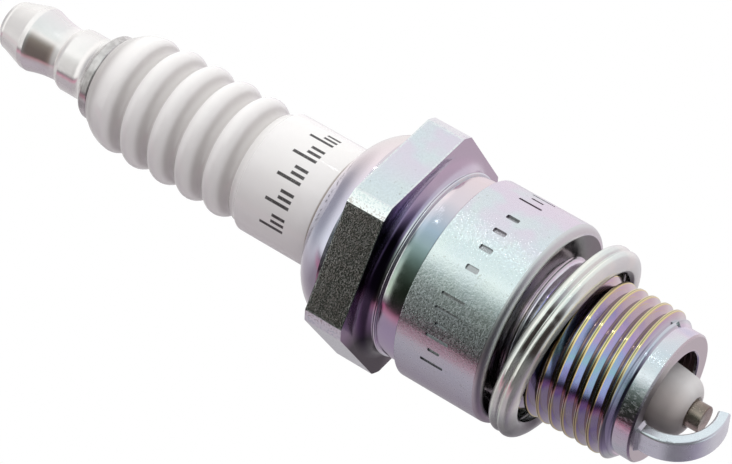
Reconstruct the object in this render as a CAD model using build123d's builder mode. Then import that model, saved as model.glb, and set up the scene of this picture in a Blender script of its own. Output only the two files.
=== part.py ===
from build123d import *
from math import atan, cos, radians, sin, sqrt
import os

# Spark plug with a 14 mm thread.
# Frame: Z runs along the plug axis towards the terminal, the origin lies on the axis
# in the plane of the gasket seat, and a corner of the hexagon points along X.

os.makedirs("parts", exist_ok=True)

# ---------------------------------------------------------------- driving dimensions (mm, degrees)
# shell, outside
reach = 12.7
thread_major_r = 6.97
thread_root_r = 6.24
thread_pitch = 1.25
thread_crest_width = 0.22
thread_base_width = 1.17
thread_phase_z = -1.19          # height of one crest at angle zero
thread_top_z = -1.1
thread_end_z = -10.85
end_land_r = 6.1
end_chamfer = 0.16
neck_r = 6.3
neck_fillet = 0.5
seat_round = 0.75
barrel_r = 9.57
barrel_top_z = 8.85
barrel_edge = 0.08
groove_r = 8.7
groove_bulge = 0.12
ridge_z = 11.4
ridge_r = 8.98
flare_r = 10.0
hex_across_flats = 20.8
hex_bottom_z = 12.86
hex_top_z = 16.68
hex_corner_r = 11.65
collar_r = 9.35
collar_straight_z = 17.5
collar_mid_r = 8.42
collar_mid_z = 19.42
collar_lip_z = 20.92
collar_lip_r = 5.95

# shell, inside
wide_bore_r = 7.5
wide_bore_bottom_z = 7.4
throat_r = 5.36
throat_top_z = 6.5
ledge_r = 4.0
ledge_top_z = -3.4
ledge_bottom_z = -4.2
firing_bore_r = 4.49
firing_bore_top_z = -5.6
bore_groove_depth = 0.1
bore_groove_pitch = 0.55
bore_grooves = 8

# stamped marks on the barrel: angle, height, length along the axis, width
dash_z = 4.75
bar_z = 4.95
stamp_depth = 0.2
stamped_marks = [
    (-24.6, dash_z, 1.25, 0.52),
    (-36.2, dash_z, 1.25, 0.52),
    (-48.2, dash_z, 1.25, 0.52),
    (-60.6, dash_z, 1.25, 0.52),
    (-78.0, bar_z, 2.3, 0.3),
    (-86.0, bar_z, 2.3, 0.3),
    (-94.0, bar_z, 1.2, 0.3),
    (-102.0, bar_z, 2.3, 0.3),
    (-110.0, bar_z, 1.2, 0.3),
    (-118.0, bar_z, 2.3, 0.3),
    (-6.0, bar_z, 2.3, 0.3),
    (2.0, bar_z, 1.2, 0.3),
    (10.0, bar_z, 2.3, 0.3),
]

# insulator
insulator_top_z = 47.0
insulator_top_r = 4.2
head_shoulder_r = 5.36
head_shoulder_z = 45.6
insulator_head_r = 5.68
insulator_body_r = 5.84
rib_pitch = 3.1
rib_depth = 0.85
rib_crest_round = 1.05
groove_count = 5
last_groove_z = 30.45
insulator_bore_r = 2.05
electrode_bore_r = 1.3
step_z = -1.6
middle_r = 7.4
middle_bottom_z = 8.0
middle_top_z = 14.2
running_gap = 0.1
nose_root_r = 3.9
nose_root_z = -4.9
nose_mouth_r = 2.97
nose_land_r = 2.85
nose_land_z = -13.6
nose_tip_z = -15.0

# terminal nut
nut_bottom_z = 47.05
nut_top_z = 59.3
nut_bore_r = 2.1
nut_bore_depth = 8.6
nut_flange_r = 4.2
nut_collar_r = 3.1
nut_waist_r = 2.62
nut_waist_z = 52.25
nut_knob_r = 3.175
nut_knob_z = 55.7
nut_land = 0.5
nut_nose_r = 2.45

# terminal stud
stud_top_z = 55.2
stud_thread_r = 1.98
stud_root_r = 1.62
stud_thread_pitch = 0.7
stud_shank_r = 1.98
stud_grip_r = 1.5
stud_grip_top_z = 12.0
stud_bottom_z = 6.0
grip_grooves = 6
grip_groove_pitch = 0.8

# glass seal and centre electrode
seal_top_z = 11.5
electrode_r = 1.25
electrode_tip_z = -16.3
electrode_head_r = 1.9
electrode_head_top_z = 0.2
core_r = 0.72
core_bottom_z = -14.2

# inner seat washer and packing under the collar
washer_inner_r = 4.15
washer_outer_r = 5.2
washer_thickness = 0.31
packing_wire_r = 0.6
lower_ring_z = 15.35
upper_ring_z = 18.7

# ground electrode
strap_angle = -123.0
strap_width = 2.65
strap_thickness = 1.1
strap_outer = 5.0
strap_offset = -0.3
strap_bend_z = -13.5
strap_bend_r = 4.15
strap_bend_angle = 108.0
strap_edge_round = 0.26

# gasket
gasket_tilt = 7.0
gasket_contact_angle = 171.0    # side on which the loose ring touches the seat
gasket_outer_r = 9.5
gasket_inner_r = 7.6
gasket_lobe_r = 8.45
gasket_height = 2.45
gasket_gap = 0.06
sheet = 0.42
tab_count = 4
tab_angle = 39.0                # measured from the low side of the ring
tab_reach = 0.4
tab_width = 1.5


# ---------------------------------------------------------------- shell: helical ridge of the thread
ridge_start_z = thread_phase_z - thread_pitch * 8

with BuildPart() as thread_ridge:
    with BuildLine(Plane.XY.offset(ridge_start_z)):
        Helix(thread_pitch, thread_pitch * 9, thread_root_r)
    with BuildSketch(Plane.XZ):
        with BuildLine():
            Polyline(
                (thread_root_r - 0.2, ridge_start_z - thread_base_width / 2),
                (thread_root_r - 0.04, ridge_start_z - thread_base_width / 2),
                (thread_major_r, ridge_start_z - thread_crest_width / 2),
                (thread_major_r, ridge_start_z + thread_crest_width / 2),
                (thread_root_r - 0.04, ridge_start_z + thread_base_width / 2),
                (thread_root_r - 0.2, ridge_start_z + thread_base_width / 2),
                close=True,
            )
        make_face()
    sweep(is_frenet=True)
    # the ends of the ridge fade into the land and into the neck
    with BuildSketch(Plane.XZ):
        with BuildLine():
            Polyline(
                (0, thread_end_z - 0.35),
                (end_land_r, thread_end_z - 0.35),
                (thread_major_r + 0.1, thread_end_z + 0.6),
                (thread_major_r + 0.1, thread_top_z - 0.5),
                (neck_r, thread_top_z + 0.1),
                (0, thread_top_z + 0.1),
                close=True,
            )
        make_face()
    revolve(axis=Axis.Z, mode=Mode.INTERSECT)

# ---------------------------------------------------------------- shell
hex_half = hex_across_flats / 2
flare_mid_z = (ridge_z + hex_bottom_z) / 2
round_in = 1 - sqrt(0.5)

with BuildPart() as shell:
    # turned outside, from the firing end upwards, without the hexagon
    with BuildSketch(Plane.XZ):
        with BuildLine():
            Polyline(
                (0, -reach),
                (end_land_r - end_chamfer, -reach),
                (end_land_r, -reach + end_chamfer),
                (end_land_r, thread_end_z - 0.2),
                (thread_root_r, thread_end_z),
                (thread_root_r, thread_top_z),
                (neck_r, thread_top_z + 0.1),
                (neck_r, -neck_fillet),
            )
            ThreePointArc(
                (neck_r, -neck_fillet),
                (neck_r + neck_fillet * round_in, -neck_fillet * round_in),
                (neck_r + neck_fillet, 0),
            )
            Line((neck_r + neck_fillet, 0), (barrel_r - seat_round, 0))
            ThreePointArc(
                (barrel_r - seat_round, 0),
                (barrel_r - seat_round * round_in, seat_round * round_in),
                (barrel_r, seat_round),
            )
            Polyline(
                (barrel_r, seat_round),
                (barrel_r, barrel_top_z - barrel_edge),
                (barrel_r - barrel_edge, barrel_top_z),
                (groove_r + 0.2, barrel_top_z),
                (groove_r, barrel_top_z + 0.2),
            )
            ThreePointArc(
                (groove_r, barrel_top_z + 0.2),
                (groove_r + groove_bulge, (barrel_top_z + ridge_z) / 2),
                (groove_r + 0.05, ridge_z - 0.18),
            )
            ThreePointArc(
                (groove_r + 0.05, ridge_z - 0.18),
                (ridge_r, ridge_z),
                (groove_r + 0.02, ridge_z + 0.16),
            )
            ThreePointArc(
                (groove_r + 0.02, ridge_z + 0.16),
                (groove_r + 0.25, flare_mid_z + 0.2),
                (flare_r, hex_bottom_z),
            )
            Polyline(
                (flare_r, hex_bottom_z),
                (flare_r, hex_top_z),
                (collar_r, hex_top_z),
                (collar_r, collar_straight_z),
            )
            ThreePointArc(
                (collar_r, collar_straight_z),
                (collar_mid_r, collar_mid_z),
                (collar_lip_r + 0.35, collar_lip_z - 0.05),
            )
            Polyline(
                (collar_lip_r + 0.35, collar_lip_z - 0.05),
                (collar_lip_r, collar_lip_z - 0.3),
                (0, collar_lip_z - 0.3),
                (0, -reach),
            )
        make_face()
    revolve(axis=Axis.Z)
    # hexagon with turned corners
    with BuildSketch(Plane.XY.offset(hex_bottom_z)):
        RegularPolygon(hex_half, 6, major_radius=False)
        Circle(hex_corner_r, mode=Mode.INTERSECT)
    extrude(amount=hex_top_z - hex_bottom_z)
    add(thread_ridge.part)
    # inside, stepped, with the ledge that carries the insulator
    with BuildSketch(Plane.XZ):
        with BuildLine():
            Polyline(
                (0, -reach - 1),
                (firing_bore_r + 0.1, -reach - 1),
                (firing_bore_r + 0.1, -reach),
                (firing_bore_r, -reach + 0.1),
                (firing_bore_r, firing_bore_top_z),
                (ledge_r, firing_bore_top_z + 0.5),
                (ledge_r, ledge_bottom_z),
                (throat_r, ledge_top_z),
                (throat_r, throat_top_z),
                (wide_bore_r, wide_bore_bottom_z),
                (wide_bore_r, collar_lip_z - 2.1),
            )
            ThreePointArc(
                (wide_bore_r, collar_lip_z - 2.1),
                (7.05, collar_lip_z - 1.35),
                (collar_lip_r, collar_lip_z - 0.95),
            )
            Polyline(
                (collar_lip_r, collar_lip_z - 0.95),
                (collar_lip_r, collar_lip_z + 1),
                (0, collar_lip_z + 1),
                (0, -reach - 1),
            )
        make_face()
    revolve(axis=Axis.Z, mode=Mode.SUBTRACT)
    # turning grooves just inside the mouth
    for i in range(bore_grooves):
        groove_z = -reach + 0.7 + bore_groove_pitch * i
        with BuildSketch(Plane.XZ):
            with BuildLine():
                Polyline(
                    (firing_bore_r - 0.05, groove_z - 0.16),
                    (firing_bore_r + bore_groove_depth, groove_z),
                    (firing_bore_r - 0.05, groove_z + 0.16),
                    close=True,
                )
            make_face()
        revolve(axis=Axis.Z, mode=Mode.SUBTRACT)
    # stamped marks: a row of dashes, then plain bars further round the barrel
    for angle, mark_z, mark_length, mark_width in stamped_marks:
        across = (-sin(radians(angle)), cos(radians(angle)), 0)
        outward = (cos(radians(angle)), sin(radians(angle)), 0)
        spot = (barrel_r * outward[0], barrel_r * outward[1], mark_z)
        with BuildSketch(Plane(origin=spot, x_dir=across, z_dir=outward).offset(0.1)):
            RectangleRounded(mark_width, mark_length, mark_width * 0.3)
        extrude(amount=-stamp_depth - 0.1, mode=Mode.SUBTRACT)
shell.part.label = "shell"

# ---------------------------------------------------------------- insulator
wave_angle = 2 * atan(rib_depth / (rib_pitch / 2))
groove_round = rib_pitch / 2 / sin(wave_angle) - rib_crest_round
groove_floor_r = insulator_body_r - rib_depth
join_r = groove_floor_r + groove_round * (1 - cos(wave_angle))
join_dz = groove_round * sin(wave_angle)
groove_heights = [last_groove_z + rib_pitch * i for i in range(groove_count)]

with BuildPart() as insulator:
    with BuildSketch(Plane.XZ):
        with BuildLine():
            # bore, from the firing end upwards
            Polyline(
                (electrode_bore_r + 0.2, nose_tip_z),
                (electrode_bore_r, nose_tip_z + 0.2),
                (electrode_bore_r, step_z - 0.5),
                (insulator_bore_r, step_z),
                (insulator_bore_r, insulator_top_z - 0.2),
                (insulator_bore_r + 0.2, insulator_top_z),
                (insulator_top_r, insulator_top_z),
            )
            # rounded head
            ThreePointArc(
                (insulator_top_r, insulator_top_z),
                (insulator_top_r + 0.32, insulator_top_z - 0.1),
                (insulator_top_r + 0.47, insulator_top_z - 0.36),
            )
            ThreePointArc(
                (insulator_top_r + 0.47, insulator_top_z - 0.36),
                (head_shoulder_r, head_shoulder_z),
                (insulator_head_r, groove_heights[-1] + rib_pitch / 2),
            )
            ThreePointArc(
                (insulator_head_r, groove_heights[-1] + rib_pitch / 2),
                (insulator_head_r - 0.06, groove_heights[-1] + join_dz + 0.35),
                (join_r, groove_heights[-1] + join_dz),
            )
            # waves of the leakage path
            for z in reversed(groove_heights):
                ThreePointArc((join_r, z + join_dz), (groove_floor_r, z), (join_r, z - join_dz))
                if z > last_groove_z:
                    ThreePointArc(
                        (join_r, z - join_dz),
                        (insulator_body_r, z - rib_pitch / 2),
                        (join_r, z - rib_pitch + join_dz),
                    )
            RadiusArc(
                (join_r, last_groove_z - join_dz),
                (insulator_body_r, last_groove_z - rib_pitch / 2),
                -rib_crest_round,
            )
            # body, middle inside the shell, seat cone, nose
            Polyline(
                (insulator_body_r, last_groove_z - rib_pitch / 2),
                (insulator_body_r, middle_top_z + 0.8),
                (middle_r, middle_top_z),
                (middle_r, middle_bottom_z),
                (throat_r - running_gap, middle_bottom_z - 0.9),
                (throat_r - running_gap, ledge_top_z + 0.35),
                (nose_root_r, ledge_bottom_z + 0.35),
                (nose_root_r, nose_root_z),
                (nose_mouth_r, -reach),
                (nose_land_r, nose_land_z),
            )
            ThreePointArc(
                (nose_land_r, nose_land_z),
                (nose_land_r - 0.36, nose_land_z - 0.93),
                (electrode_bore_r + 0.2, nose_tip_z),
            )
        make_face()
    revolve(axis=Axis.Z)
insulator.part.label = "insulator"

# ---------------------------------------------------------------- terminal nut
with BuildPart() as terminal_nut:
    with BuildSketch(Plane.XZ):
        with BuildLine():
            Line((0, nut_bottom_z), (nut_flange_r - 0.2, nut_bottom_z))
            ThreePointArc(
                (nut_flange_r - 0.2, nut_bottom_z),
                (nut_flange_r - 0.06, nut_bottom_z + 0.08),
                (nut_flange_r, nut_bottom_z + 0.25),
            )
            Line((nut_flange_r, nut_bottom_z + 0.25), (nut_flange_r, nut_bottom_z + 0.85))
            ThreePointArc(
                (nut_flange_r, nut_bottom_z + 0.85),
                (nut_flange_r - 0.07, nut_bottom_z + 1.02),
                (nut_flange_r - 0.25, nut_bottom_z + 1.15),
            )
            ThreePointArc(
                (nut_flange_r - 0.25, nut_bottom_z + 1.15),
                (nut_collar_r + 0.2, nut_bottom_z + 1.75),
                (nut_collar_r, nut_bottom_z + 2.55),
            )
            Line((nut_collar_r, nut_bottom_z + 2.55), (nut_collar_r, nut_waist_z - 0.75))
            ThreePointArc(
                (nut_collar_r, nut_waist_z - 0.75),
                (nut_collar_r - 0.17, nut_waist_z - 0.35),
                (nut_waist_r, nut_waist_z),
            )
            ThreePointArc(
                (nut_waist_r, nut_waist_z),
                (nut_waist_r + 0.13, nut_waist_z + 1.65),
                (nut_knob_r, nut_knob_z),
            )
            Polyline(
                (nut_knob_r, nut_knob_z),
                (nut_knob_r, nut_knob_z + nut_land),
                (nut_nose_r, nut_top_z - 0.75),
            )
            ThreePointArc(
                (nut_nose_r, nut_top_z - 0.75),
                (nut_nose_r - 0.25, nut_top_z - 0.2),
                (nut_nose_r - 0.85, nut_top_z),
            )
            Polyline((nut_nose_r - 0.85, nut_top_z), (0, nut_top_z), (0, nut_bottom_z))
        make_face()
    revolve(axis=Axis.Z)
    with BuildSketch(Plane.XY.offset(nut_bottom_z)):
        Circle(nut_bore_r)
    extrude(amount=nut_bore_depth, mode=Mode.SUBTRACT)
terminal_nut.part.label = "terminal_nut"

# ---------------------------------------------------------------- terminal stud
stud_ridge_z = insulator_top_z + 0.5
stud_turns = int((stud_top_z - 0.6 - stud_ridge_z) / stud_thread_pitch)

with BuildPart() as terminal_stud:
    with BuildSketch(Plane.XZ):
        with BuildLine():
            Polyline(
                (0, stud_bottom_z),
                (stud_grip_r - 0.25, stud_bottom_z),
                (stud_grip_r, stud_bottom_z + 0.25),
                (stud_grip_r, stud_grip_top_z),
                (stud_shank_r, stud_grip_top_z + 0.4),
                (stud_shank_r, insulator_top_z - 0.6),
                (stud_root_r, insulator_top_z - 0.2),
                (stud_root_r, stud_top_z - 0.35),
                (stud_root_r - 0.35, stud_top_z),
                (0, stud_top_z),
                close=True,
            )
        make_face()
    revolve(axis=Axis.Z)
    # grooves that key the lower end into the glass
    for i in range(grip_grooves):
        grip_z = stud_bottom_z + 0.9 + grip_groove_pitch * i
        with BuildSketch(Plane.XZ):
            with BuildLine():
                Polyline(
                    (stud_grip_r + 0.05, grip_z - 0.25),
                    (stud_grip_r - 0.2, grip_z),
                    (stud_grip_r + 0.05, grip_z + 0.25),
                    close=True,
                )
            make_face()
        revolve(axis=Axis.Z, mode=Mode.SUBTRACT)
    # thread for the nut
    with BuildLine(Plane.XY.offset(stud_ridge_z)):
        Helix(stud_thread_pitch, stud_thread_pitch * stud_turns, stud_root_r)
    with BuildSketch(Plane.XZ):
        with BuildLine():
            Polyline(
                (stud_root_r - 0.15, stud_ridge_z - 0.32),
                (stud_root_r - 0.03, stud_ridge_z - 0.32),
                (stud_thread_r, stud_ridge_z - 0.07),
                (stud_thread_r, stud_ridge_z + 0.07),
                (stud_root_r - 0.03, stud_ridge_z + 0.32),
                (stud_root_r - 0.15, stud_ridge_z + 0.32),
                close=True,
            )
        make_face()
    sweep(is_frenet=True)
terminal_stud.part.label = "terminal_stud"

# ---------------------------------------------------------------- glass seal
with BuildPart() as glass_seal:
    with BuildSketch(Plane.XZ):
        with BuildLine():
            Polyline(
                (0, electrode_head_top_z + 0.03),
                (insulator_bore_r - 0.03, electrode_head_top_z + 0.03),
                (insulator_bore_r - 0.03, seal_top_z),
                (stud_grip_r + 0.03, seal_top_z),
                (stud_grip_r + 0.03, stud_bottom_z - 0.03),
                (0, stud_bottom_z - 0.03),
                close=True,
            )
        make_face()
    revolve(axis=Axis.Z)
glass_seal.part.label = "glass_seal"

# ---------------------------------------------------------------- centre electrode
with BuildPart() as centre_electrode:
    with BuildSketch(Plane.XZ):
        with BuildLine():
            Polyline(
                (0, electrode_tip_z),
                (electrode_r - 0.08, electrode_tip_z),
                (electrode_r, electrode_tip_z + 0.08),
                (electrode_r, step_z - 0.4),
                (electrode_head_r, step_z + 0.1),
                (electrode_head_r, electrode_head_top_z),
                (core_r + 0.02, electrode_head_top_z),
                (core_r + 0.02, core_bottom_z - 0.3),
                (0, core_bottom_z - 0.6),
                close=True,
            )
        make_face()
    revolve(axis=Axis.Z)
centre_electrode.part.label = "centre_electrode"

with BuildPart() as electrode_core:
    with BuildSketch(Plane.XZ):
        with BuildLine():
            Polyline(
                (0, core_bottom_z - 0.55),
                (core_r, core_bottom_z - 0.25),
                (core_r, electrode_head_top_z),
                (0, electrode_head_top_z),
                close=True,
            )
        make_face()
    revolve(axis=Axis.Z)
electrode_core.part.label = "electrode_core"

# ---------------------------------------------------------------- inner seat washer
washer_slope = (ledge_top_z - ledge_bottom_z) / (throat_r - ledge_r)
washer_low_z = ledge_bottom_z + (washer_inner_r - ledge_r) * washer_slope + 0.02
washer_high_z = ledge_bottom_z + (washer_outer_r - ledge_r) * washer_slope + 0.02

with BuildPart() as seat_washer:
    with BuildSketch(Plane.XZ):
        with BuildLine():
            Polyline(
                (washer_inner_r, washer_low_z),
                (washer_outer_r, washer_high_z),
                (washer_outer_r, washer_high_z + washer_thickness),
                (washer_inner_r, washer_low_z + washer_thickness),
                close=True,
            )
        make_face()
    revolve(axis=Axis.Z)
seat_washer.part.label = "seat_washer"

# ---------------------------------------------------------------- packing under the collar
packing_r = (insulator_body_r + wide_bore_r) / 2

with BuildPart() as lower_packing_ring:
    with BuildSketch(Plane.XZ):
        with Locations((packing_r, lower_ring_z)):
            Circle(packing_wire_r)
    revolve(axis=Axis.Z)
lower_packing_ring.part.label = "lower_packing_ring"

with BuildPart() as upper_packing_ring:
    with BuildSketch(Plane.XZ):
        with Locations((packing_r, upper_ring_z)):
            Circle(packing_wire_r)
    revolve(axis=Axis.Z)
upper_packing_ring.part.label = "upper_packing_ring"

with BuildPart() as talc_filling:
    with BuildSketch(Plane.XY.offset(lower_ring_z + packing_wire_r + 0.02)):
        Circle(wide_bore_r - 0.03)
        Circle(insulator_body_r + 0.03, mode=Mode.SUBTRACT)
    extrude(amount=upper_ring_z - lower_ring_z - 2 * packing_wire_r - 0.04)
talc_filling.part.label = "talc_filling"

# ---------------------------------------------------------------- ground electrode
strap_out = (cos(radians(strap_angle)), sin(radians(strap_angle)), 0)
strap_side = (-strap_out[1], strap_out[0], 0)
strap_foot = (strap_offset * strap_side[0], strap_offset * strap_side[1], 0)
strap_mid = strap_outer - strap_thickness / 2
strap_plane = Plane(origin=strap_foot, x_dir=strap_out, z_dir=(strap_out[1], -strap_out[0], 0))
root_spot = (
    strap_foot[0] + strap_mid * strap_out[0],
    strap_foot[1] + strap_mid * strap_out[1],
    -reach,
)
root_plane = Plane(origin=root_spot, x_dir=strap_out, z_dir=(0, 0, -1))

with BuildPart() as ground_electrode:
    with BuildLine(strap_plane):
        Line((strap_mid, -reach), (strap_mid, strap_bend_z))
        CenterArc(
            (strap_mid - strap_bend_r, strap_bend_z), strap_bend_r, 0, -strap_bend_angle
        )
    with BuildSketch(root_plane):
        RectangleRounded(strap_thickness, strap_width, strap_edge_round)
    sweep()
    # upset metal round the weld
    with BuildSketch(root_plane):
        RectangleRounded(strap_thickness + 0.5, strap_width + 0.5, strap_edge_round + 0.2)
    extrude(amount=0.3, taper=38)
ground_electrode.part.label = "ground_electrode"

# ---------------------------------------------------------------- gasket, hanging cocked on the thread
low_side = radians(gasket_contact_angle - 180)
tilt = radians(gasket_tilt)
half_height = gasket_height / 2
lobe_drop = half_height / 2
from_pivot_out = gasket_lobe_r * cos(tilt) - lobe_drop * sin(tilt)
from_pivot_down = lobe_drop * cos(tilt) + gasket_lobe_r * sin(tilt)
centre_out = from_pivot_out - gasket_lobe_r
centre_z = -gasket_gap - lobe_drop - from_pivot_down
gasket_centre = (centre_out * cos(low_side), centre_out * sin(low_side), centre_z)
gasket_normal = (sin(tilt) * cos(low_side), sin(tilt) * sin(low_side), cos(tilt))
gasket_radial = (cos(tilt) * cos(low_side), cos(tilt) * sin(low_side), -sin(tilt))
gasket_side = (sin(low_side), -cos(low_side), 0)
section_plane = Plane(origin=gasket_centre, x_dir=gasket_radial, z_dir=gasket_side)
gasket_plane = Plane(origin=gasket_centre, x_dir=gasket_radial, z_dir=gasket_normal)

with BuildPart() as gasket:
    # folded sheet: two convex lobes meeting in a seam, open towards the thread
    with BuildSketch(section_plane):
        with BuildLine():
            Spline(
                (gasket_inner_r + 0.1, -half_height + 0.28),
                (gasket_lobe_r - 0.35, -half_height + 0.02),
                (gasket_lobe_r + 0.3, -half_height + 0.06),
                (gasket_outer_r - 0.2, -half_height * 0.72),
                (gasket_outer_r, -half_height * 0.38),
                (gasket_outer_r - 0.17, -0.03),
            )
            Line((gasket_outer_r - 0.17, -0.03), (gasket_outer_r - 0.17, 0.03))
            Spline(
                (gasket_outer_r - 0.17, 0.03),
                (gasket_outer_r, half_height * 0.38),
                (gasket_outer_r - 0.2, half_height * 0.72),
                (gasket_lobe_r + 0.3, half_height - 0.06),
                (gasket_lobe_r - 0.35, half_height - 0.02),
                (gasket_inner_r, half_height - 0.3),
            )
            Line(
                (gasket_inner_r, half_height - 0.3),
                (gasket_inner_r, half_height - 0.3 - sheet),
            )
            ThreePointArc(
                (gasket_inner_r, half_height - 0.3 - sheet),
                (gasket_outer_r - sheet, 0),
                (gasket_inner_r + 0.1, -half_height + 0.28 + sheet),
            )
            Line(
                (gasket_inner_r + 0.1, -half_height + 0.28 + sheet),
                (gasket_inner_r + 0.1, -half_height + 0.28),
            )
        make_face()
    revolve(axis=Axis(gasket_centre, gasket_normal))
    # lips bent in over the thread so that the ring cannot fall off
    with BuildSketch(gasket_plane.offset(half_height - 0.3 - sheet)):
        with PolarLocations(0, tab_count, start_angle=tab_angle):
            with Locations((gasket_inner_r + 0.1 - tab_reach / 2, 0)):
                Rectangle(tab_reach + 0.4, tab_width)
        Circle(gasket_inner_r - tab_reach, mode=Mode.SUBTRACT)
    extrude(amount=sheet * 0.9)
gasket.part.label = "gasket"

# ---------------------------------------------------------------- files
export_step(terminal_nut.part, "parts/terminal_nut.step")
export_step(terminal_stud.part, "parts/terminal_stud.step")
export_step(insulator.part, "parts/insulator.step")
export_step(glass_seal.part, "parts/glass_seal.step")
export_step(centre_electrode.part, "parts/centre_electrode.step")
export_step(electrode_core.part, "parts/electrode_core.step")
export_step(shell.part, "parts/shell.step")
export_step(seat_washer.part, "parts/seat_washer.step")
export_step(lower_packing_ring.part, "parts/lower_packing_ring.step")
export_step(talc_filling.part, "parts/talc_filling.step")
export_step(upper_packing_ring.part, "parts/upper_packing_ring.step")
export_step(gasket.part, "parts/gasket.step")
export_step(ground_electrode.part, "parts/ground_electrode.step")
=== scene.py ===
import math

import bpy
from mathutils import Matrix, Vector


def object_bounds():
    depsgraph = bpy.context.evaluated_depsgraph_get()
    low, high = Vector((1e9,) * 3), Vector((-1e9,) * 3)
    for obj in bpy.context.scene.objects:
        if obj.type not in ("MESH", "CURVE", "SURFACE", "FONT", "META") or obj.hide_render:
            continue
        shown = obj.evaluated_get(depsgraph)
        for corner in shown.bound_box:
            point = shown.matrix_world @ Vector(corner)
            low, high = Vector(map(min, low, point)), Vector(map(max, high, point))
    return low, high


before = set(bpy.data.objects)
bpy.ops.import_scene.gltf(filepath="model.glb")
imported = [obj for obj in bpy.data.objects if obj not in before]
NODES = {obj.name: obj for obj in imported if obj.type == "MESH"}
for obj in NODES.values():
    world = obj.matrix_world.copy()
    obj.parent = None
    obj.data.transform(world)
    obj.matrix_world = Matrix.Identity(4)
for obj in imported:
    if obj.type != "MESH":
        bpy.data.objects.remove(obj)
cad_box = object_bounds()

MM = 0.001
THREAD_PITCH = 1.25            # mm
THREAD_PHASE_Z = -1.19         # height of one crest at angle zero, mm
WHITE = (1.0, 1.0, 1.0)


def linear(colour):
    """Colours in this script are as they look on a screen; shaders want them linear."""
    return (*(part ** 2.2 for part in colour), 1.0)


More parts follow.
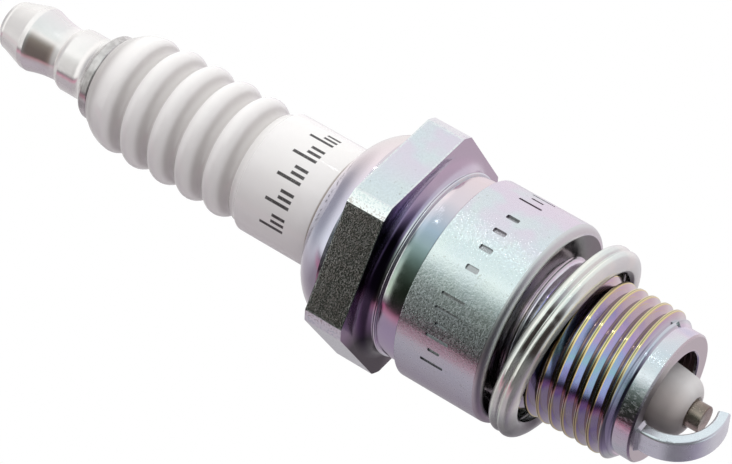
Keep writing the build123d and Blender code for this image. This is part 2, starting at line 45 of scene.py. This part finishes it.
# ---------------------------------------------------------------- shader helpers
class Shader:
    """The node tree of a new material or world. Positions are in mm in the piece's own frame."""

    def __init__(self, owner):
        owner.use_nodes = True
        self.owner = owner
        self.tree = owner.node_tree
        self.tree.nodes.clear()
        self.cache = {}

    def node(self, kind, **settings):
        made = self.tree.nodes.new(kind)
        for key, value in settings.items():
            setattr(made, key, value)
        return made

    def put(self, value, socket):
        """Links a socket, or sets a constant on the input itself."""
        if isinstance(value, bpy.types.NodeSocket):
            self.tree.links.new(value, socket)
        else:
            socket.default_value = value

    def math(self, operation, *values):
        made = self.node("ShaderNodeMath", operation=operation)
        for i, value in enumerate(values):
            self.put(value, made.inputs[i])
        return made.outputs[0]

    def times(self, product, *factors):
        """All the values multiplied together."""
        for factor in factors:
            product = self.math("MULTIPLY", product, factor)
        return product

    def largest(self, most, *others):
        for other in others:
            most = self.math("MAXIMUM", most, other)
        return most

    def place(self):
        """Position, height z and radius in mm, and angle about the axis in degrees."""
        if "place" in self.cache:
            return self.cache["place"]
        coord = self.node("ShaderNodeTexCoord")
        scale = self.node("ShaderNodeVectorMath", operation="SCALE")
        self.put(coord.outputs["Object"], scale.inputs[0])
        scale.inputs["Scale"].default_value = 1 / MM
        split = self.node("ShaderNodeSeparateXYZ")
        self.put(scale.outputs[0], split.inputs[0])
        x, y, z = split.outputs
        radius = self.math("SQRT", self.math("ADD", self.times(x, x), self.times(y, y)))
        angle = self.times(self.math("ARCTAN2", y, x), 180 / math.pi)
        self.cache["place"] = {"mm": scale.outputs[0], "z": z, "r": radius, "angle": angle}
        return self.cache["place"]

    def normal_z(self):
        """World z of the normal: 1 towards the terminal, -1 towards the firing end, plug upright."""
        if "normal_z" not in self.cache:
            geometry = self.node("ShaderNodeNewGeometry")
            split = self.node("ShaderNodeSeparateXYZ")
            self.put(geometry.outputs["Normal"], split.inputs[0])
            self.cache["normal_z"] = split.outputs[2]
        return self.cache["normal_z"]

    def ease(self, value, low, high, start=0.0, end=1.0):
        """start below low, end above high, smooth between."""
        made = self.node("ShaderNodeMapRange", interpolation_type="SMOOTHSTEP")
        for i, item in enumerate((value, low, high, start, end)):
            self.put(item, made.inputs[i])
        return made.outputs[0]

    def fall(self, value, low, high):
        """1 below low, 0 above high, smooth between."""
        return self.ease(value, low, high, 1.0, 0.0)

    def band(self, value, low, high, soft):
        """1 between low and high, 0 outside."""
        rise = self.ease(value, low - soft, low + soft)
        return self.times(rise, self.fall(value, high - soft, high + soft))

    def ramp(self, value, stops):
        """A colour along a line of stops, from 0 to 1."""
        made = self.node("ShaderNodeValToRGB")
        items = made.color_ramp.elements
        while len(items) < len(stops):
            items.new(0.5)
        for item, (place, colour) in zip(items, stops):
            item.position = place
            item.color = linear(colour)
        self.put(value, made.inputs[0])
        return made.outputs[0]

    def around(self, angle, stops):
        """A colour by angle about the axis; stops are in degrees, from -180 to 180."""
        share = self.math("DIVIDE", self.math("ADD", angle, 180.0), 360.0)
        return self.ramp(share, [((a + 180.0) / 360.0, c) for a, c in stops])

    def noise(self, scale, detail=2.0, rough=0.5, stretch=(1, 1, 1), offset=0.0):
        """Noise fixed to the object; scale is in features per mm."""
        mapping = self.node("ShaderNodeMapping")
        self.put(self.place()["mm"], mapping.inputs[0])
        mapping.inputs["Location"].default_value = (offset, offset, offset)
        mapping.inputs["Scale"].default_value = stretch
        made = self.node("ShaderNodeTexNoise")
        self.put(mapping.outputs[0], made.inputs["Vector"])
        made.inputs["Scale"].default_value = scale
        made.inputs["Detail"].default_value = detail
        made.inputs["Roughness"].default_value = rough
        return made.outputs[0]

    def rings(self, pitch):
        """Fine turning marks: noise that only changes along the axis."""
        made = self.node("ShaderNodeTexNoise", noise_dimensions="1D")
        self.put(self.place()["z"], made.inputs["W"])
        made.inputs["Scale"].default_value = 1 / pitch
        made.inputs["Detail"].default_value = 3.0
        return made.outputs[0]

    def mix(self, share, first, second, mode="MIX"):
        """first where share is 0, second where it is 1, for colours."""
        made = self.node("ShaderNodeMix", data_type="RGBA", blend_type=mode)
        for index, value in ((0, share), (6, first), (7, second)):
            self.put(linear(value) if isinstance(value, tuple) else value, made.inputs[index])
        return made.outputs[2]

    def tint(self, colour, by):
        return self.mix(1.0, colour, by, "MULTIPLY")

    def blend(self, share, first, second):
        """first where share is 0, second where it is 1, for plain numbers."""
        made = self.node("ShaderNodeMix", data_type="FLOAT")
        for index, value in ((0, share), (2, first), (3, second)):
            self.put(value, made.inputs[index])
        return made.outputs[0]

    def bump(self, height, depth_mm, strength):
        made = self.node("ShaderNodeBump")
        self.put(height, made.inputs["Height"])
        made.inputs["Distance"].default_value = depth_mm * MM
        self.put(strength, made.inputs["Strength"])
        return made.outputs[0]

    def surface(self, colour, roughness, normal=None, **sockets):
        shader = self.node("ShaderNodeBsdfPrincipled")
        self.put(colour, shader.inputs["Base Color"])
        self.put(roughness, shader.inputs["Roughness"])
        if normal is not None:
            self.put(normal, shader.inputs["Normal"])
        for key, value in sockets.items():
            self.put(value, shader.inputs[key])
        out = self.node("ShaderNodeOutputMaterial")
        self.put(shader.outputs[0], out.inputs[0])
        return self.owner


def new_material(name):
    return Shader(bpy.data.materials.new(name))


# ---------------------------------------------------------------- materials
def glaze():
    """Glazed insulator: gloss above the shell, bare ceramic on the nose, a printed row of ticks."""
    s = new_material("white_glaze")
    at = s.place()
    bare = s.fall(at["z"], 4.0, 6.0)        # the change from glaze is hidden inside the shell
    cloud = s.noise(0.35, 2.0)
    colour = s.mix(cloud, (0.925, 0.92, 0.91), (0.95, 0.945, 0.94))
    # painted shade in the hollows between the ribs, darker than the glaze around them
    painted_hollow_shade = s.times(s.fall(at["r"], 5.05, 5.6), s.ease(at["z"], 28.0, 29.0))
    colour = s.mix(s.times(painted_hollow_shade, 0.9), colour, (0.76, 0.745, 0.735))
    nose = s.mix(s.noise(1.4, 3.0), (0.85, 0.845, 0.84), (0.90, 0.895, 0.89))
    # painted shade on the bare nose, darkest on one side from about -138 to -100 degrees
    painted_nose_shade = s.around(at["angle"], [
        (-178, (0.84, 0.82, 0.82)), (-138, (0.72, 0.69, 0.69)), (-100, (0.68, 0.65, 0.64)),
        (-62, (0.90, 0.88, 0.87)), (-30, WHITE), (120, WHITE), (178, (0.84, 0.82, 0.82)),
    ])
    colour = s.mix(bare, colour, s.tint(nose, painted_nose_shade))
    # painted shadow: a brown line where the insulator meets the shell's lip
    painted_contact_shadow = s.times(s.band(at["z"], 20.3, 21.25, 0.08), s.ease(at["r"], 5.5, 5.7))
    colour = s.mix(s.times(painted_contact_shadow, 0.8), colour, (0.56, 0.51, 0.47))
    worn = s.ease(s.noise(14.0, 1.0), 0.30, 0.42, 0.72, 1.0)
    ink = s.times(tick_marks(s), worn)
    colour = s.mix(ink, colour, (0.24, 0.23, 0.23))
    rough = s.blend(bare, s.ease(s.noise(0.9), 0.3, 0.7, 0.05, 0.1), 0.62)
    rough = s.blend(ink, rough, 0.4)
    grain = s.math("ADD", s.noise(0.8, 2.0), s.times(s.noise(7.0, 2.0), 0.12))
    return s.surface(colour, rough, s.bump(grain, 0.02, 0.5), IOR=1.55)


def tick_marks(s):
    """Plain upright ticks in groups, in the place of the printed marking."""
    z, angle = s.place()["z"], s.place()["angle"]
    group_pitch, first_angle, last_angle = 24.0, -118.0, 2.0     # degrees
    half_width, foot_z, tall_z, short_z = 1.5, 23.6, 26.1, 25.0  # degrees, then mm
    within = s.math("MODULO", s.math("SUBTRACT", angle, first_angle), group_pitch)
    ticks = []
    for centre, top_z in ((4.0, tall_z), (10.0, short_z), (16.0, short_z)):
        across = s.band(within, centre - half_width, centre + half_width, 0.35)
        ticks.append(s.times(across, s.band(z, foot_z, top_z, 0.05)))
    return s.times(s.largest(*ticks), s.band(angle, first_angle, last_angle, 0.1))


def shell_areas(s):
    """Masks of the shell's areas, by height and radius in mm; the flare's also by the normal."""
    z, r = s.place()["z"], s.place()["r"]
    hexagon_edges = s.largest(
        s.band(z, 12.7, 13.02, 0.06), s.band(z, 16.52, 16.8, 0.06), s.ease(r, 11.52, 11.62))
    return {
        "bore": s.times(s.fall(r, 4.6, 5.2), s.ease(z, -12.55, -12.3)),
        "end_face": s.times(s.fall(z, -12.6, -12.45), s.ease(r, 4.55, 4.7)),
        "end_land": s.times(s.fall(z, -11.3, -11.1), s.ease(r, 5.9, 6.0)),
        "thread": s.band(z, -11.0, -0.9, 0.08),
        "seat": s.times(s.band(z, -0.05, 0.05, 0.02), s.band(r, 6.8, 8.85, 0.05)),
        "rim": s.times(s.band(z, 0.02, 0.72, 0.05), s.ease(r, 8.85, 8.95)),
        "barrel": s.times(s.band(z, 0.7, 8.8, 0.05), s.ease(r, 9.2, 9.35)),
        "stamp": s.times(s.band(z, 1.5, 7.5, 0.2), s.band(r, 9.2, 9.515, 0.01)),
        "groove": s.band(z, 8.98, 11.1, 0.06),
        "flare": s.times(s.band(z, 11.6, 12.95, 0.06), s.fall(s.normal_z(), -0.2, -0.04)),
        "hexagon": s.times(s.band(z, 12.9, 16.9, 0.05), s.ease(r, 10.1, 10.3)),
        "hexagon_edges": s.times(hexagon_edges, s.ease(r, 10.2, 10.4)),
        "collar": s.ease(z, 16.75, 16.9),
        "lip": s.times(s.ease(z, 20.6, 20.75), s.fall(r, 6.05, 6.2)),
    }


def tumbled_zinc(s, area, grain):
    """Satin zinc: dull specks, a pink blush on one side, and painted shade on one flat of the hexagon."""
    angle = s.place()["angle"]
    satin = s.mix(s.noise(0.5, 3.0, offset=3.0), (0.90, 0.94, 0.96), (0.92, 0.96, 0.94))
    specks = s.times(s.ease(s.noise(2.6, 2.0, offset=11.0), 0.66, 0.72), 0.3)
    satin = s.mix(specks, satin, (0.62, 0.62, 0.56))
    satin = s.mix(s.times(s.fall(grain, 0.38, 0.62), 0.1), satin, (0.62, 0.64, 0.60))
    blush = s.ease(s.noise(0.3, 2.0, offset=13.0), 0.38, 0.6, 0.1, 0.75)
    satin = s.mix(s.times(s.ease(angle, -52.0, -26.0), blush), satin, (0.94, 0.88, 0.93))
    patches = s.ease(s.noise(1.3, 3.0, offset=9.0), 0.4, 0.62)
    # painted shade, with faint patches, on the hexagon flat round -90 degrees
    painted_shade_flat = s.mix(patches, (0.85, 0.835, 0.82), (0.83, 0.805, 0.785))
    return s.mix(s.times(area["hexagon"], s.band(angle, -119.5, -60.5, 0.6)), satin, painted_shade_flat)


def zinc_colour(s, area, grain):
    """The shell's colour: a slow film colour, with each area laid over it in turn, several with painted
    shade.
    """
    angle = s.place()["angle"]
    colour = s.ramp(s.noise(0.22, 2.0, offset=7.0), [
        (0.25, (0.84, 0.83, 0.90)), (0.42, (0.91, 0.87, 0.91)), (0.52, (0.91, 0.91, 0.92)),
        (0.64, (0.87, 0.90, 0.92)), (0.80, (0.93, 0.92, 0.90)),
    ])
    # painted shade for the barrel and its rim: darker round 180 degrees
    painted_shade_side = s.around(angle, [
        (-178, (0.80, 0.78, 0.80)), (-138, (0.83, 0.78, 0.82)), (-114, WHITE),
        (150, WHITE), (178, (0.80, 0.78, 0.80)),
    ])
    # film colours in the neck groove, with a painted dark reflection between -94 and -52 degrees
    groove = s.around(angle, [
        (-178, (0.84, 0.80, 0.86)), (-116, (0.80, 0.76, 0.84)), (-104, (0.86, 0.80, 0.86)),
        (-94, (0.70, 0.76, 0.70)), (-64, (0.52, 0.60, 0.60)), (-52, (0.68, 0.74, 0.80)),
        (-30, (0.93, 0.88, 0.90)), (0, (0.96, 0.91, 0.90)), (178, (0.84, 0.80, 0.86)),
    ])
    # film colours on the collar, with painted shade on the side from -105 degrees round to 180
    collar = s.around(angle, [
        (-178, (0.70, 0.66, 0.70)), (-130, (0.70, 0.66, 0.70)), (-105, (0.72, 0.69, 0.75)),
        (-85, (0.84, 0.85, 0.91)), (-60, (0.85, 0.84, 0.90)), (-35, (0.92, 0.87, 0.89)),
        (20, (0.95, 0.92, 0.90)), (178, (0.74, 0.68, 0.73)),
    ])
    # painted shade and painted dark reflections under the hexagon: near black round 180 degrees
    flare = s.around(angle, [
        (-178, (0.14, 0.11, 0.15)), (-138, (0.14, 0.11, 0.15)), (-124, (0.48, 0.41, 0.50)),
        (-106, (0.66, 0.58, 0.68)), (-97, (0.30, 0.25, 0.34)), (-68, (0.22, 0.19, 0.27)),
        (-53, (0.64, 0.59, 0.72)), (-28, (0.80, 0.75, 0.81)), (120, (0.82, 0.78, 0.82)),
        (178, (0.14, 0.11, 0.15)),
    ])
    # painted shade on the end face between -104 and -76 degrees
    end_face = s.around(angle, [
        (-178, (0.84, 0.82, 0.82)), (-126, (0.82, 0.80, 0.80)), (-104, (0.54, 0.52, 0.53)),
        (-76, (0.56, 0.55, 0.56)), (-44, (0.86, 0.84, 0.84)), (178, (0.84, 0.82, 0.82)),
    ])
    satin = tumbled_zinc(s, area, grain)
    satin = s.mix(area["barrel"], satin, s.tint(satin, painted_shade_side))
    # wear and a painted highlight along the hexagon's edges
    edge_wear_and_highlight = s.times(area["hexagon_edges"], s.ease(grain, 0.42, 0.5))
    for share, tone in (
        (area["groove"], groove),
        (area["collar"], collar),
        (s.largest(area["barrel"], area["hexagon"]), satin),
        # painted shade in the floors of the stamped marks
        (s.times(area["stamp"], 0.6), (0.50, 0.46, 0.47)),
        (edge_wear_and_highlight, (0.97, 0.98, 0.97)),
        (area["rim"], s.tint((0.90, 0.91, 0.90), painted_shade_side)),
        (area["flare"], flare),
        # painted shadow: a dark line at the lip where the collar meets the insulator
        (area["lip"], (0.40, 0.38, 0.40)),
        # painted shade on the seat face under the gasket
        (s.times(area["seat"], 0.9), (0.34, 0.33, 0.33)),
        (area["thread"], thread_film(s)),
        (area["end_face"], end_face),
        # painted shade inside the bore at the firing end
        (area["bore"], (0.42, 0.35, 0.34)),
    ):
        colour = s.mix(share, colour, tone)
    return colour


def zinc_shell():
    """Bright zinc with a thin chromate film: turned, rolled and tumbled areas differ."""
    s = new_material("zinc_plate")
    area = shell_areas(s)
    grain = s.noise(4.6, 3.0, 0.7)
    fine = s.noise(6.4, 3.0, 0.75, offset=2.0)
    scuffs = s.noise(5.0, 3.0, 0.7, (1, 1, 0.35))
    rough = s.ease(s.noise(1.3, 3.0), 0.3, 0.7, 0.12, 0.2)
    for name, level in (
        ("barrel", s.ease(grain, 0.44, 0.64, 0.2, 0.29)),
        ("hexagon", s.ease(fine, 0.44, 0.66, 0.1, 0.23)),
        ("thread", 0.13),
        ("rim", 0.42),
        ("end_face", 0.32),
        ("bore", 0.42),
        ("end_land", s.ease(scuffs, 0.42, 0.62, 0.1, 0.3)),
    ):
        rough = s.blend(area[name], rough, level)
    tumbled = s.largest(area["barrel"], area["hexagon"], area["end_land"])
    relief = s.blend(area["barrel"], fine, s.times(grain, 1.9))
    height = s.blend(tumbled, s.times(s.rings(0.12), 0.06), relief)
    return s.surface(zinc_colour(s, area, grain), rough, s.bump(height, 0.013, 0.6), Metallic=1.0)


def thread_film(s):
    """Interference colours and painted light and shade: purple and blue flanks, a brown crest with gold
    edges.
    """
    z, r, angle = (s.place()[key] for key in ("z", "r", "angle"))
    drift = s.times(s.math("SUBTRACT", s.noise(0.45, 2.0), 0.5), 60.0)
    flank = s.around(s.math("ADD", angle, drift), [
        (-178, (0.80, 0.79, 0.78)), (-140, (0.75, 0.75, 0.78)), (-114, (0.66, 0.64, 0.78)),
        (-102, (0.54, 0.50, 0.76)), (-88, (0.62, 0.70, 0.92)), (-74, (0.58, 0.77, 0.84)),
        (-60, (0.60, 0.69, 0.87)), (-44, (0.70, 0.64, 0.83)), (-20, (0.82, 0.74, 0.81)),
        (15, (0.88, 0.82, 0.81)), (80, (0.80, 0.80, 0.86)), (125, (0.80, 0.75, 0.82)),
        (178, (0.80, 0.77, 0.78)),
    ])
    # painted light: flanks that face up towards the terminal are paler
    flank = s.mix(s.ease(s.normal_z(), 0.1, 0.4), flank, (0.90, 0.87, 0.86))
    # painted shade in the thread's root
    root = s.times(s.fall(r, 6.24, 6.29), s.band(z, -10.5, -1.6, 0.1))
    film = s.mix(root, flank, (0.56, 0.48, 0.48))
    gold = s.around(angle, [
        (-178, (0.92, 0.88, 0.66)), (-118, (0.88, 0.85, 0.62)), (-112, (0.80, 0.81, 0.76)),
        (-102, (0.80, 0.80, 0.74)), (-94, (0.86, 0.78, 0.58)), (-60, (0.97, 0.92, 0.66)),
        (178, (0.93, 0.89, 0.68)),
    ])
    film = s.mix(s.ease(r, 6.87, 6.91), film, gold)
    # turns is a whole number on the crest line; off_crest is the distance from it in mm
    turns = s.math("DIVIDE", s.math("SUBTRACT", z, THREAD_PHASE_Z), THREAD_PITCH)
    turns = s.math("SUBTRACT", turns, s.math("DIVIDE", angle, 360.0))
    off_crest = s.times(s.math("ABSOLUTE", s.math("WRAP", turns, 0.5, -0.5)), THREAD_PITCH)
    middle = s.times(s.fall(off_crest, 0.04, 0.075), s.ease(r, 6.94, 6.96))
    brown = s.around(angle, [
        (-178, (0.52, 0.46, 0.38)), (-112, (0.46, 0.40, 0.34)), (-94, (0.44, 0.32, 0.24)),
        (-74, (0.66, 0.46, 0.32)), (-58, (0.62, 0.58, 0.42)), (-20, (0.74, 0.70, 0.54)),
        (178, (0.62, 0.56, 0.46)),
    ])
    film = s.mix(middle, film, brown)
    # pale last turn of the thread, with painted shade between -86 and -72 degrees
    last_turn = s.around(angle, [
        (-178, (0.84, 0.88, 0.89)), (-98, (0.84, 0.87, 0.88)), (-86, (0.54, 0.56, 0.57)),
        (-72, (0.54, 0.56, 0.57)), (-56, (0.84, 0.88, 0.89)), (178, (0.84, 0.88, 0.89)),
    ])
    film = s.mix(s.ease(z, -10.5, -10.1, 0.75, 0.0), film, last_turn)
    # fine turned lines at the end of the thread, about a third of a mm apart, given painted shade
    # strongest on one side
    waves = s.ease(s.math("SINE", s.times(z, 19.0)), 0.35, 0.8)
    lines = s.times(waves, s.band(z, -11.15, -10.45, 0.03))
    painted_line_shade = s.times(s.ease(angle, -116.0, -98.0, 0.2, 0.65), s.ease(angle, -50.0, -30.0, 1.0, 0.15))
    return s.mix(s.times(lines, painted_line_shade), film, (0.36, 0.38, 0.46))


def turned(s, shade, gloss, ring_pitch, mark_mm, metallic):
    """Uneven gloss, between two roughnesses, and fine turning marks."""
    rough = s.ease(s.noise(2.2, 3.0, offset=5.0), 0.3, 0.7, *gloss)
    marks = s.math("ADD", s.rings(ring_pitch), s.times(s.noise(12.0, 2.0), 0.5))
    return s.surface(shade, rough, s.bump(marks, mark_mm, 0.6), Metallic=metallic)


def bright_metal(name, colour, other, gloss, ring_pitch=0.15, mark_mm=0.004):
    """Turned metal with a slow drift between two colours."""
    s = new_material(name)
    shade = s.mix(s.ease(s.noise(0.5, 3.0), 0.35, 0.65), colour, other)
    return turned(s, shade, gloss, ring_pitch, mark_mm, 1.0)


def nut_plating():
    """Bright nut: mottled flange with painted shade, less metallic waist, a painted brownish reflection
    between waist and knob.
    """
    s = new_material("polished_nickel")
    z, r, angle = (s.place()[key] for key in ("z", "r", "angle"))
    shade = s.mix(s.ease(s.noise(0.5, 3.0), 0.35, 0.65), (0.94, 0.93, 0.92), (0.96, 0.95, 0.94))
    # mottling on the flange, with painted shade: the flange is darker than the rest of the nut
    flange = s.times(s.ease(r, 3.3, 3.6), s.fall(z, 48.6, 49.2))
    mottling = s.ease(s.noise(1.5, 3.0, offset=6.0), 0.35, 0.65)
    shade = s.mix(flange, shade, s.mix(mottling, (0.74, 0.73, 0.72), (0.85, 0.84, 0.83)))
    # painted dark reflection, brownish, between the waist and the knob on one side
    painted_dark_patch = s.times(s.band(z, 52.8, 55.5, 0.25), s.band(angle, -112.0, -66.0, 12.0), 0.85)
    shade = s.mix(painted_dark_patch, shade, (0.78, 0.70, 0.66))
    metallic = s.blend(s.band(z, 51.9, 52.9, 0.5), 0.72, 0.35)
    return turned(s, shade, (0.12, 0.2), 0.15, 0.004, metallic)


def strap_metal():
    """Satin nickel strap, lumpier and darker towards the weld."""
    s = new_material("strap_nickel")
    weld = s.ease(s.place()["z"], -13.6, -12.6)
    shade = s.mix(s.noise(1.2, 3.0), (0.90, 0.93, 0.95), (0.94, 0.97, 0.98))
    shade = s.mix(s.times(weld, 0.4), shade, (0.76, 0.73, 0.77))
    lumps = s.math("ADD", s.noise(1.6, 3.0), s.times(s.noise(8.0, 2.0), 0.12))
    rough = s.ease(lumps, 0.4, 0.9, 0.2, 0.3)
    relief = s.bump(lumps, 0.02, s.blend(weld, 0.3, 0.9))
    return s.surface(shade, rough, relief, Metallic=0.78)


def gasket_metal():
    """Bright folded sheet, with painted shade inside and towards 180 degrees, and a painted brown
    reflection on one side.
    """
    s = new_material("bright_sheet")
    r, angle = s.place()["r"], s.place()["angle"]
    shade = s.mix(s.ease(s.noise(0.3, 3.0), 0.35, 0.65), (0.92, 0.94, 0.93), (0.96, 0.96, 0.94))
    # painted shade on the gasket, darkest round 180 degrees
    shade = s.tint(shade, s.around(angle, [
        (-178, (0.36, 0.36, 0.38)), (-150, (0.40, 0.41, 0.42)), (-136, (0.66, 0.67, 0.66)),
        (-122, (0.96, 0.97, 0.95)), (140, WHITE), (178, (0.36, 0.36, 0.38)),
    ]))
    streaks = s.ease(s.noise(0.9, 3.0, offset=4.0), 0.3, 0.5, 0.55, 0.9)
    lower_face = s.band(s.normal_z(), -0.82, -0.14, 0.08)
    # painted dark reflection: a brown streak on faces that look down, between -86 and -56 degrees
    painted_dark_streak = s.times(s.band(angle, -86.0, -56.0, 5.0), lower_face, streaks)
    shade = s.mix(painted_dark_streak, shade, (0.36, 0.31, 0.28))
    # painted shade on the inside of the ring
    shade = s.mix(s.fall(r, 7.7, 7.85), shade, (0.34, 0.33, 0.33))
    return turned(s, shade, (0.13, 0.2), 0.4, 0.002, 0.75)


def powder(name, colour, other, rough):
    """Packed powder or fused glass: dull, granular."""
    s = new_material(name)
    shade = s.mix(s.noise(4.0, 4.0, 0.7), colour, other)
    return s.surface(shade, rough, s.bump(s.noise(10.0, 4.0, 0.7), 0.03, 0.6))


FINISHES = {
    "insulator": glaze(),
    "shell": zinc_shell(),
    "terminal_nut": nut_plating(),
    "terminal_stud": bright_metal("plated_steel", (0.86, 0.87, 0.88), (0.90, 0.90, 0.89), (0.2, 0.32)),
    "glass_seal": powder("seal_glass", (0.20, 0.20, 0.21), (0.30, 0.30, 0.31), 0.35),
    "centre_electrode": bright_metal(
        "electrode_nickel", (0.56, 0.51, 0.47), (0.68, 0.63, 0.58), (0.22, 0.34), 0.07, 0.012),
    "electrode_core": bright_metal("core_copper", (0.90, 0.66, 0.54), (0.94, 0.74, 0.62), (0.2, 0.35)),
    "seat_washer": bright_metal("washer_steel", (0.76, 0.77, 0.78), (0.82, 0.82, 0.82), (0.25, 0.4)),
    "lower_packing_ring": bright_metal("ring_steel", (0.72, 0.73, 0.74), (0.80, 0.80, 0.80), (0.25, 0.4)),
    "talc_filling": powder("talc", (0.86, 0.85, 0.83), (0.92, 0.91, 0.90), 0.85),
    "gasket": gasket_metal(),
    "ground_electrode": strap_metal(),
}
FINISHES["upper_packing_ring"] = FINISHES["lower_packing_ring"]

for node_name, finish in FINISHES.items():
    for slot in NODES[node_name].material_slots:
        slot.material = finish


# ---------------------------------------------------------------- camera
def add_camera():
    """Long lens, below the firing end, with the plug's axis running from upper left to lower right."""
    aim_mm = Vector((-0.19, -0.82, 18.22))
    azimuth, elevation, roll = (math.radians(degrees) for degrees in (-68.03, -22.14, -60.11))
    distance_mm = 273.0
    data = bpy.data.cameras.new("camera")
    data.lens = 154.27
    data.sensor_width = 36.0
    data.clip_start = 0.01
    data.clip_end = 20.0
    camera = bpy.data.objects.new("camera", data)
    quarter = math.pi / 2
    turn = Matrix.Rotation(azimuth + quarter, 4, "Z") @ Matrix.Rotation(quarter - elevation, 4, "X")
    turn = turn @ Matrix.Rotation(roll, 4, "Z")
    back_off = Matrix.Translation((0.0, 0.0, distance_mm * MM))
    camera.matrix_world = Matrix.Translation(aim_mm * MM) @ turn @ back_off
    bpy.context.scene.collection.objects.link(camera)
    bpy.context.scene.camera = camera


# ---------------------------------------------------------------- studio
def add_floor():
    """Plain pale floor, far below the plug; its far edge shows in views 5 to 10 degrees above level."""
    half, level = 3.0, -0.55       # metres
    corners = [(x * half, y * half, level) for x, y in ((-1, -1), (1, -1), (1, 1), (-1, 1))]
    mesh = bpy.data.meshes.new("studio_floor")
    mesh.from_pydata(corners, [], [(0, 1, 2, 3)])
    floor = bpy.data.objects.new("studio_floor", mesh)
    bpy.context.scene.collection.objects.link(floor)
    s = new_material("floor_paint")
    paint = s.mix(s.noise(0.004), (0.94, 0.94, 0.94), (0.96, 0.96, 0.96))
    mesh.materials.append(s.surface(paint, 0.9))
    floor.visible_glossy = False


def lamp_spot(s, azimuth, height, size):
    """A small round lamp in the world, seen as a glint; all three are angles in degrees."""
    turn, rise, radius = (math.radians(degrees) for degrees in (azimuth, height, size))
    aim = s.node("ShaderNodeVectorMath", operation="DOT_PRODUCT")
    s.put(s.node("ShaderNodeTexCoord").outputs["Generated"], aim.inputs[0])
    level = math.cos(rise)
    aim.inputs[1].default_value = (math.cos(turn) * level, math.sin(turn) * level, math.sin(rise))
    return s.ease(aim.outputs["Value"], math.cos(radius), math.cos(radius / 2))


def add_world():
    """A soft studio with a dark side, a pink edge, a lavender side and a greyer ceiling."""
    world = bpy.data.worlds.new("studio")
    bpy.context.scene.world = world
    s = Shader(world)
    split = s.node("ShaderNodeSeparateXYZ")
    s.put(s.node("ShaderNodeTexCoord").outputs["Generated"], split.inputs[0])
    x, y, z = split.outputs
    angle = s.times(s.math("ARCTAN2", y, x), 180 / math.pi)
    level = s.around(angle, [
        (-180, (0.68, 0.64, 0.69)), (-156, (0.67, 0.63, 0.68)), (-149, (0.76, 0.60, 0.66)),
        (-144, (0.66, 0.46, 0.53)), (-139, (0.17, 0.16, 0.16)), (-104, (0.17, 0.19, 0.17)),
        (-85, (0.40, 0.43, 0.41)), (-74, (0.60, 0.65, 0.64)), (-63, (0.92, 0.95, 0.95)),
        (-56, (1.04, 1.06, 1.06)), (-46, (0.92, 0.96, 0.96)),
        (-25, (0.90, 0.94, 0.95)), (40, (0.93, 0.93, 0.95)), (88, (0.94, 0.91, 0.94)),
        (130, (0.68, 0.66, 0.68)), (180, (0.68, 0.64, 0.69)),
    ])
    above = s.around(angle, [
        (-180, (0.70, 0.68, 0.70)), (-154, (0.70, 0.68, 0.70)), (-147, (0.84, 0.48, 0.62)),
        (-142, (0.72, 0.44, 0.56)), (-137, (0.34, 0.34, 0.38)), (-129, (1.05, 1.05, 1.05)),
        (-40, (1.08, 1.08, 1.08)), (95, (0.96, 0.96, 0.96)), (180, (0.70, 0.68, 0.70)),
    ])
    below = s.around(angle, [
        (-180, (0.34, 0.31, 0.36)), (-150, (0.30, 0.27, 0.32)), (-135, (0.20, 0.18, 0.22)),
        (-55, (0.18, 0.17, 0.20)), (-30, (0.52, 0.50, 0.56)), (0, (0.82, 0.79, 0.82)),
        (80, (0.86, 0.80, 0.84)), (120, (0.80, 0.76, 0.79)), (150, (0.54, 0.48, 0.58)),
        (166, (0.42, 0.37, 0.44)), (180, (0.34, 0.31, 0.36)),
    ])
    # z is the sine of the elevation that a ray looks to
    light = s.mix(s.ease(z, 0.43, 0.50), level, above)
    light = s.mix(s.fall(z, -0.35, -0.05), light, below)
    light = s.mix(s.fall(z, -0.985, -0.9), light, (0.88, 0.90, 0.93))
    light = s.mix(s.ease(z, 0.7, 0.9), light, (0.88, 0.88, 0.88))
    light = s.mix(s.ease(z, 0.86, 0.99), light, (0.66, 0.66, 0.68))
    for azimuth, height, size in ((-24.0, 18.0, 0.9), (-8.0, 23.0, 0.7)):
        light = s.mix(lamp_spot(s, azimuth, height, size), light, (3.5, 3.5, 3.5))
    fill = s.around(angle, [
        (-180, (0.60, 0.55, 0.58)), (-120, (0.54, 0.50, 0.52)), (-60, (0.80, 0.79, 0.80)),
        (0, (1.10, 1.10, 1.10)), (80, (1.10, 1.10, 1.10)), (150, (0.70, 0.66, 0.67)),
        (180, (0.60, 0.55, 0.58)),
    ])
    path = s.node("ShaderNodeLightPath")
    light = s.mix(path.outputs["Is Diffuse Ray"], light, fill)
    light = s.mix(path.outputs["Is Camera Ray"], light, WHITE)
    background = s.node("ShaderNodeBackground")
    s.put(light, background.inputs[0])
    out = s.node("ShaderNodeOutputWorld")
    s.put(background.outputs[0], out.inputs[0])


def add_light(name, place_mm, size_mm, power, colour):
    """A square soft box that faces the middle of the plug."""
    data = bpy.data.lights.new(name, "AREA")
    data.size = size_mm * MM
    data.energy = power
    data.color = colour
    lamp = bpy.data.objects.new(name, data)
    lamp.visible_glossy = False
    low_corner, high_corner = cad_box
    lamp.location = Vector(place_mm) * MM
    towards_plug = (low_corner + high_corner) / 2 - lamp.location
    lamp.rotation_mode = "QUATERNION"
    lamp.rotation_quaternion = towards_plug.to_track_quat("-Z", "Y")
    bpy.context.scene.collection.objects.link(lamp)


add_camera()
add_floor()
add_world()
add_light("key", (420, -160, 200), 340, 0.9, (1.0, 1.0, 0.99))
bpy.context.scene.view_settings.view_transform = "Standard"
